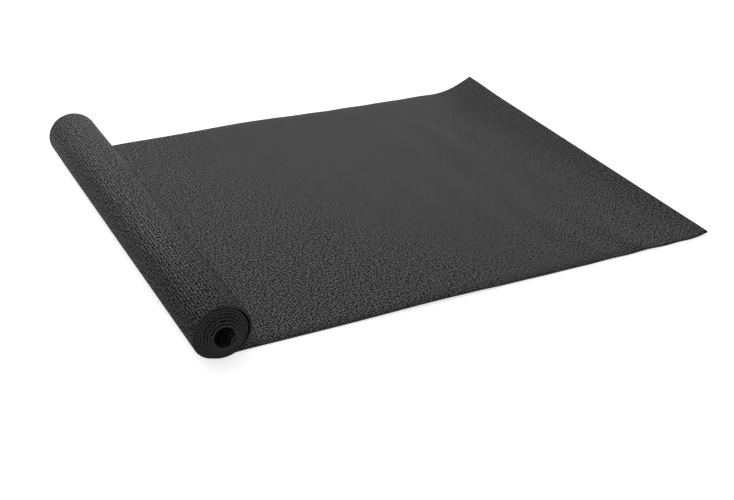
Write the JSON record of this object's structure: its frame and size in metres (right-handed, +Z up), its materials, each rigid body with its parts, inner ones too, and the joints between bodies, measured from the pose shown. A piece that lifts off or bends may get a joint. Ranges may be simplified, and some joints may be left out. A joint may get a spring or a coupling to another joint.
{
  "type": "exercise mat",
  "caption": "Thin foamed PVC exercise mat, laid flat with one end wound into a roll; it unrolls flat and its free end curls up at one corner.",
  "frame": {"origin": "on the mat's underside, in the middle of the length that lies flat and of the width", "axes": "+X along the mat's length towards its free end, +Y across its width towards the back corner that curls up, +Z up"},
  "size_m": [0.7502, 0.623, 0.0701],
  "materials": {
    "foam": "matte",
    "scrim": "matte"
  },
  "bodies": {
    "laid_mat": {"laid_foam_top": "foam", "laid_scrim": "scrim", "laid_foam_base": "foam"},
    "turn_01": {"turn_strip_01": "foam"},
    "turn_02": {"turn_strip_02": "foam"},
    "turn_03": {"turn_strip_03": "foam"},
    "turn_04": {"turn_strip_04": "foam"},
    "turn_05": {"turn_strip_05": "foam"},
    "turn_06": {"turn_strip_06": "foam"},
    "turn_07": {"turn_strip_07": "foam"},
    "turn_08": {"turn_strip_08": "foam"},
    "turn_09": {"turn_strip_09": "foam"},
    "turn_10": {"turn_strip_10": "foam"},
    "turn_11": {"turn_strip_11": "foam"},
    "turn_12": {"turn_strip_12": "foam"},
    "turn_13": {"turn_strip_13": "foam"},
    "turn_14": {"turn_strip_14": "foam"},
    "turn_15": {"turn_strip_15": "foam"},
    "turn_16": {"turn_strip_16": "foam"},
    "turn_17": {"turn_strip_17": "foam"},
    "turn_18": {"turn_strip_18": "foam"},
    "turn_19": {"turn_strip_19": "foam"},
    "turn_20": {"turn_strip_20": "foam"},
    "turn_21": {"turn_strip_21": "foam"},
    "turn_22": {"turn_strip_22": "foam"},
    "turn_23": {"turn_strip_23": "foam"},
    "turn_24": {"turn_strip_24": "foam"},
    "turn_25": {"turn_strip_25": "foam"},
    "turn_26": {"turn_strip_26": "foam"},
    "turn_27": {"turn_strip_27": "foam"},
    "turn_28": {"turn_strip_28": "foam"},
    "turn_29": {"turn_strip_29": "foam"},
    "turn_30": {"turn_strip_30": "foam"},
    "turn_31": {"turn_strip_31": "foam"},
    "turn_32": {"turn_strip_32": "foam"},
    "turn_33": {"turn_strip_33": "foam"},
    "turn_34": {"turn_strip_34": "foam"},
    "turn_35": {"turn_strip_35": "foam"},
    "turn_36": {"turn_strip_36": "foam"},
    "turn_37": {"turn_strip_37": "foam"},
    "turn_38": {"turn_strip_38": "foam"},
    "turn_39": {"turn_strip_39": "foam"},
    "turn_40": {"turn_strip_40": "foam"},
    "turn_41": {"turn_strip_41": "foam"},
    "turn_42": {"turn_strip_42": "foam"},
    "turn_43": {"turn_strip_43": "foam"},
    "turn_44": {"turn_strip_44": "foam"},
    "turn_45": {"turn_strip_45": "foam"},
    "turn_46": {"turn_strip_46": "foam"},
    "turn_47": {"turn_strip_47": "foam"},
    "turn_48": {"turn_strip_48": "foam"},
    "turn_49": {"turn_strip_49": "foam"},
    "turn_50": {"turn_strip_50": "foam"},
    "turn_51": {"turn_strip_51": "foam"},
    "turn_52": {"turn_strip_52": "foam"},
    "turn_53": {"turn_strip_53": "foam"},
    "turn_54": {"turn_strip_54": "foam"},
    "end_1": {"end_strip_1": "foam"},
    "end_2": {"end_strip_2": "foam"},
    "end_3": {"end_strip_3": "foam"}
  },
  "joints": [
    {"name": "unroll", "type": "hinge", "parent": "laid_mat", "child": "turn_01", "pos_m": [-0.357, 0, 0.0015], "axis": [0, -1, 0], "range_deg": [0, 18.84]},
    {"name": "unroll_02", "type": "hinge", "parent": "turn_01", "child": "turn_02", "pos_m": [-0.37791, 0, 0.00862], "axis": [0, -1, 0], "range_deg": [0, 37.78]},
    {"name": "unroll_03", "type": "hinge", "parent": "turn_02", "child": "turn_03", "pos_m": [-0.39001, 0, 0.02696], "axis": [0, -1, 0], "range_deg": [0, 37.96]},
    {"name": "unroll_04", "type": "hinge", "parent": "turn_03", "child": "turn_04", "pos_m": [-0.38829, 0, 0.04875], "axis": [0, -1, 0], "range_deg": [0, 38.16]},
    {"name": "unroll_05", "type": "hinge", "parent": "turn_04", "child": "turn_05", "pos_m": [-0.37355, 0, 0.06474], "axis": [0, -1, 0], "range_deg": [0, 38.35]},
    {"name": "unroll_06", "type": "hinge", "parent": "turn_05", "child": "turn_06", "pos_m": [-0.35216, 0, 0.06811], "axis": [0, -1, 0], "range_deg": [0, 38.55]},
    {"name": "unroll_07", "type": "hinge", "parent": "turn_06", "child": "turn_07", "pos_m": [-0.33072, 0, 0.05618], "axis": [0, -1, 0], "range_deg": [0, 38.76]},
    {"name": "unroll_08", "type": "hinge", "parent": "turn_07", "child": "turn_08", "pos_m": [-0.32306, 0, 0.03748], "axis": [0, -1, 0], "range_deg": [0, 38.96]},
    {"name": "unroll_09", "type": "hinge", "parent": "turn_08", "child": "turn_09", "pos_m": [-0.32907, 0, 0.01871], "axis": [0, -1, 0], "range_deg": [0, 39.18]},
    {"name": "unroll_10", "type": "hinge", "parent": "turn_09", "child": "turn_10", "pos_m": [-0.34907, 0, 0.00571], "axis": [0, -1, 0], "range_deg": [0, 39.4]},
    {"name": "unroll_11", "type": "hinge", "parent": "turn_10", "child": "turn_11", "pos_m": [-0.37041, 0, 0.00774], "axis": [0, -1, 0], "range_deg": [0, 39.62]},
    {"name": "unroll_12", "type": "hinge", "parent": "turn_11", "child": "turn_12", "pos_m": [-0.38509, 0, 0.02263], "axis": [0, -1, 0], "range_deg": [0, 39.85]},
    {"name": "unroll_13", "type": "hinge", "parent": "turn_12", "child": "turn_13", "pos_m": [-0.38681, 0, 0.04334], "axis": [0, -1, 0], "range_deg": [0, 40.08]},
    {"name": "unroll_14", "type": "hinge", "parent": "turn_13", "child": "turn_14", "pos_m": [-0.37487, 0, 0.06019], "axis": [0, -1, 0], "range_deg": [0, 40.32]},
    {"name": "unroll_15", "type": "hinge", "parent": "turn_14", "child": "turn_15", "pos_m": [-0.35499, 0, 0.06529], "axis": [0, -1, 0], "range_deg": [0, 40.56]},
    {"name": "unroll_16", "type": "hinge", "parent": "turn_15", "child": "turn_16", "pos_m": [-0.33669, 0, 0.05629], "axis": [0, -1, 0], "range_deg": [0, 40.81]},
    {"name": "unroll_17", "type": "hinge", "parent": "turn_16", "child": "turn_17", "pos_m": [-0.32877, 0, 0.03764], "axis": [0, -1, 0], "range_deg": [0, 41.07]},
    {"name": "unroll_18", "type": "hinge", "parent": "turn_17", "child": "turn_18", "pos_m": [-0.335, 0, 0.0185], "axis": [0, -1, 0], "range_deg": [0, 41.33]},
    {"name": "unroll_19", "type": "hinge", "parent": "turn_18", "child": "turn_19", "pos_m": [-0.3522, 0, 0.00831], "axis": [0, -1, 0], "range_deg": [0, 41.61]},
    {"name": "unroll_20", "type": "hinge", "parent": "turn_19", "child": "turn_20", "pos_m": [-0.37169, 0, 0.01209], "axis": [0, -1, 0], "range_deg": [0, 41.88]},
    {"name": "unroll_21", "type": "hinge", "parent": "turn_20", "child": "turn_21", "pos_m": [-0.38361, 0, 0.0278], "axis": [0, -1, 0], "range_deg": [0, 42.17]},
    {"name": "unroll_22", "type": "hinge", "parent": "turn_21", "child": "turn_22", "pos_m": [-0.38191, 0, 0.0473], "axis": [0, -1, 0], "range_deg": [0, 42.46]},
    {"name": "unroll_23", "type": "hinge", "parent": "turn_22", "child": "turn_23", "pos_m": [-0.3676, 0, 0.06045], "axis": [0, -1, 0], "range_deg": [0, 42.76]},
    {"name": "unroll_24", "type": "hinge", "parent": "turn_23", "child": "turn_24", "pos_m": [-0.34831, 0, 0.06038], "axis": [0, -1, 0], "range_deg": [0, 43.07]},
    {"name": "unroll_25", "type": "hinge", "parent": "turn_24", "child": "turn_25", "pos_m": [-0.33436, 0, 0.04727], "axis": [0, -1, 0], "range_deg": [0, 43.39]},
    {"name": "unroll_26", "type": "hinge", "parent": "turn_25", "child": "turn_26", "pos_m": [-0.33325, 0, 0.02831], "axis": [0, -1, 0], "range_deg": [0, 43.72]},
    {"name": "unroll_27", "type": "hinge", "parent": "turn_26", "child": "turn_27", "pos_m": [-0.34544, 0, 0.01395], "axis": [0, -1, 0], "range_deg": [0, 44.06]},
    {"name": "unroll_28", "type": "hinge", "parent": "turn_27", "child": "turn_28", "pos_m": [-0.36404, 0, 0.01212], "axis": [0, -1, 0], "range_deg": [0, 44.41]},
    {"name": "unroll_29", "type": "hinge", "parent": "turn_28", "child": "turn_29", "pos_m": [-0.37848, 0, 0.02373], "axis": [0, -1, 0], "range_deg": [0, 44.77]},
    {"name": "unroll_30", "type": "hinge", "parent": "turn_29", "child": "turn_30", "pos_m": [-0.38055, 0, 0.04198], "axis": [0, -1, 0], "range_deg": [0, 45.15]},
    {"name": "unroll_31", "type": "hinge", "parent": "turn_30", "child": "turn_31", "pos_m": [-0.36917, 0, 0.0562], "axis": [0, -1, 0], "range_deg": [0, 45.53]},
    {"name": "unroll_32", "type": "hinge", "parent": "turn_31", "child": "turn_32", "pos_m": [-0.35121, 0, 0.05802], "axis": [0, -1, 0], "range_deg": [0, 45.93]},
    {"name": "unroll_33", "type": "hinge", "parent": "turn_32", "child": "turn_33", "pos_m": [-0.33755, 0, 0.0465], "axis": [0, -1, 0], "range_deg": [0, 46.35]},
    {"name": "unroll_34", "type": "hinge", "parent": "turn_33", "child": "turn_34", "pos_m": [-0.33646, 0, 0.02883], "axis": [0, -1, 0], "range_deg": [0, 46.78]},
    {"name": "unroll_35", "type": "hinge", "parent": "turn_34", "child": "turn_35", "pos_m": [-0.34846, 0, 0.01606], "axis": [0, -1, 0], "range_deg": [0, 47.23]},
    {"name": "unroll_36", "type": "hinge", "parent": "turn_35", "child": "turn_36", "pos_m": [-0.36581, 0, 0.01619], "axis": [0, -1, 0], "range_deg": [0, 47.69]},
    {"name": "unroll_37", "type": "hinge", "parent": "turn_36", "child": "turn_37", "pos_m": [-0.37728, 0, 0.02898], "axis": [0, -1, 0], "range_deg": [0, 48.17]},
    {"name": "unroll_38", "type": "hinge", "parent": "turn_37", "child": "turn_38", "pos_m": [-0.37542, 0, 0.04586], "axis": [0, -1, 0], "range_deg": [0, 48.68]},
    {"name": "unroll_39", "type": "hinge", "parent": "turn_38", "child": "turn_39", "pos_m": [-0.36167, 0, 0.05551], "axis": [0, -1, 0], "range_deg": [0, 49.2]},
    {"name": "unroll_40", "type": "hinge", "parent": "turn_39", "child": "turn_40", "pos_m": [-0.34557, 0, 0.05145], "axis": [0, -1, 0], "range_deg": [0, 49.75]},
    {"name": "unroll_41", "type": "hinge", "parent": "turn_40", "child": "turn_41", "pos_m": [-0.33834, 0, 0.03672], "axis": [0, -1, 0], "range_deg": [0, 50.32]},
    {"name": "unroll_42", "type": "hinge", "parent": "turn_41", "child": "turn_42", "pos_m": [-0.34498, 0, 0.02194], "axis": [0, -1, 0], "range_deg": [0, 50.92]},
    {"name": "unroll_43", "type": "hinge", "parent": "turn_42", "child": "turn_43", "pos_m": [-0.36043, 0, 0.01782], "axis": [0, -1, 0], "range_deg": [0, 51.55]},
    {"name": "unroll_44", "type": "hinge", "parent": "turn_43", "child": "turn_44", "pos_m": [-0.3731, 0, 0.02724], "axis": [0, -1, 0], "range_deg": [0, 52.22]},
    {"name": "unroll_45", "type": "hinge", "parent": "turn_44", "child": "turn_45", "pos_m": [-0.37342, 0, 0.0428], "axis": [0, -1, 0], "range_deg": [0, 52.92]},
    {"name": "unroll_46", "type": "hinge", "parent": "turn_45", "child": "turn_46", "pos_m": [-0.36138, 0, 0.0523], "axis": [0, -1, 0], "range_deg": [0, 53.65]},
    {"name": "unroll_47", "type": "hinge", "parent": "turn_46", "child": "turn_47", "pos_m": [-0.34681, 0, 0.0483], "axis": [0, -1, 0], "range_deg": [0, 54.43]},
    {"name": "unroll_48", "type": "hinge", "parent": "turn_47", "child": "turn_48", "pos_m": [-0.34167, 0, 0.03435], "axis": [0, -1, 0], "range_deg": [0, 55.26]},
    {"name": "unroll_49", "type": "hinge", "parent": "turn_48", "child": "turn_49", "pos_m": [-0.35006, 0, 0.02237], "axis": [0, -1, 0], "range_deg": [0, 56.14]},
    {"name": "unroll_50", "type": "hinge", "parent": "turn_49", "child": "turn_50", "pos_m": [-0.36443, 0, 0.02266], "axis": [0, -1, 0], "range_deg": [0, 57.08]},
    {"name": "unroll_51", "type": "hinge", "parent": "turn_50", "child": "turn_51", "pos_m": [-0.37186, 0, 0.03465], "axis": [0, -1, 0], "range_deg": [0, 58.09]},
    {"name": "unroll_52", "type": "hinge", "parent": "turn_51", "child": "turn_52", "pos_m": [-0.36574, 0, 0.04705], "axis": [0, -1, 0], "range_deg": [0, 59.17]},
    {"name": "unroll_53", "type": "hinge", "parent": "turn_52", "child": "turn_53", "pos_m": [-0.35223, 0, 0.04814], "axis": [0, -1, 0], "range_deg": [0, 60.34]},
    {"name": "unroll_54", "type": "hinge", "parent": "turn_53", "child": "turn_54", "pos_m": [-0.34476, 0, 0.03718], "axis": [0, -1, 0], "range_deg": [0, 61.6]},
    {"name": "end_curl", "type": "hinge", "parent": "laid_mat", "child": "end_1", "pos_m": [0.3105, 0, 0.003], "axis": [0.106, -0.9944, 0], "range_deg": [-8.5, 25]},
    {"name": "end_curl_2", "type": "hinge", "parent": "end_1", "child": "end_2", "pos_m": [0.32583, -0.00002, 0.00528], "axis": [0.0712, -0.9974, -0.0052], "range_deg": [-8.5, 25]},
    {"name": "end_curl_3", "type": "hinge", "parent": "end_2", "child": "end_3", "pos_m": [0.34066, -0.00008, 0.00979], "axis": [0.0374, -0.9992, -0.0156], "range_deg": [-8.5, 25]}
  ],
  "couplings": [
    {"joint": "unroll_02", "follows": "unroll", "ratio": 2.0049},
    {"joint": "unroll_03", "follows": "unroll", "ratio": 2.0149},
    {"joint": "unroll_04", "follows": "unroll", "ratio": 2.0251},
    {"joint": "unroll_05", "follows": "unroll", "ratio": 2.0355},
    {"joint": "unroll_06", "follows": "unroll", "ratio": 2.0461},
    {"joint": "unroll_07", "follows": "unroll", "ratio": 2.057},
    {"joint": "unroll_08", "follows": "unroll", "ratio": 2.068},
    {"joint": "unroll_09", "follows": "unroll", "ratio": 2.0794},
    {"joint": "unroll_10", "follows": "unroll", "ratio": 2.0909},
    {"joint": "unroll_11", "follows": "unroll", "ratio": 2.1028},
    {"joint": "unroll_12", "follows": "unroll", "ratio": 2.1149},
    {"joint": "unroll_13", "follows": "unroll", "ratio": 2.1272},
    {"joint": "unroll_14", "follows": "unroll", "ratio": 2.1399},
    {"joint": "unroll_15", "follows": "unroll", "ratio": 2.1529},
    {"joint": "unroll_16", "follows": "unroll", "ratio": 2.1662},
    {"joint": "unroll_17", "follows": "unroll", "ratio": 2.1799},
    {"joint": "unroll_18", "follows": "unroll", "ratio": 2.1939},
    {"joint": "unroll_19", "follows": "unroll", "ratio": 2.2082},
    {"joint": "unroll_20", "follows": "unroll", "ratio": 2.223},
    {"joint": "unroll_21", "follows": "unroll", "ratio": 2.2381},
    {"joint": "unroll_22", "follows": "unroll", "ratio": 2.2537},
    {"joint": "unroll_23", "follows": "unroll", "ratio": 2.2697},
    {"joint": "unroll_24", "follows": "unroll", "ratio": 2.2862},
    {"joint": "unroll_25", "follows": "unroll", "ratio": 2.3031},
    {"joint": "unroll_26", "follows": "unroll", "ratio": 2.3206},
    {"joint": "unroll_27", "follows": "unroll", "ratio": 2.3386},
    {"joint": "unroll_28", "follows": "unroll", "ratio": 2.3572},
    {"joint": "unroll_29", "follows": "unroll", "ratio": 2.3765},
    {"joint": "unroll_30", "follows": "unroll", "ratio": 2.3963},
    {"joint": "unroll_31", "follows": "unroll", "ratio": 2.4168},
    {"joint": "unroll_32", "follows": "unroll", "ratio": 2.4381},
    {"joint": "unroll_33", "follows": "unroll", "ratio": 2.4601},
    {"joint": "unroll_34", "follows": "unroll", "ratio": 2.4829},
    {"joint": "unroll_35", "follows": "unroll", "ratio": 2.5066},
    {"joint": "unroll_36", "follows": "unroll", "ratio": 2.5313},
    {"joint": "unroll_37", "follows": "unroll", "ratio": 2.5569},
    {"joint": "unroll_38", "follows": "unroll", "ratio": 2.5836},
    {"joint": "unroll_39", "follows": "unroll", "ratio": 2.6115},
    {"joint": "unroll_40", "follows": "unroll", "ratio": 2.6406},
    {"joint": "unroll_41", "follows": "unroll", "ratio": 2.671},
    {"joint": "unroll_42", "follows": "unroll", "ratio": 2.7029},
    {"joint": "unroll_43", "follows": "unroll", "ratio": 2.7364},
    {"joint": "unroll_44", "follows": "unroll", "ratio": 2.7716},
    {"joint": "unroll_45", "follows": "unroll", "ratio": 2.8087},
    {"joint": "unroll_46", "follows": "unroll", "ratio": 2.8479},
    {"joint": "unroll_47", "follows": "unroll", "ratio": 2.8893},
    {"joint": "unroll_48", "follows": "unroll", "ratio": 2.9333},
    {"joint": "unroll_49", "follows": "unroll", "ratio": 2.98},
    {"joint": "unroll_50", "follows": "unroll", "ratio": 3.03},
    {"joint": "unroll_51", "follows": "unroll", "ratio": 3.0834},
    {"joint": "unroll_52", "follows": "unroll", "ratio": 3.1408},
    {"joint": "unroll_53", "follows": "unroll", "ratio": 3.2028},
    {"joint": "unroll_54", "follows": "unroll", "ratio": 3.2699},
    {"joint": "end_curl_2", "follows": "end_curl", "ratio": 1},
    {"joint": "end_curl_3", "follows": "end_curl", "ratio": 1}
  ]
}
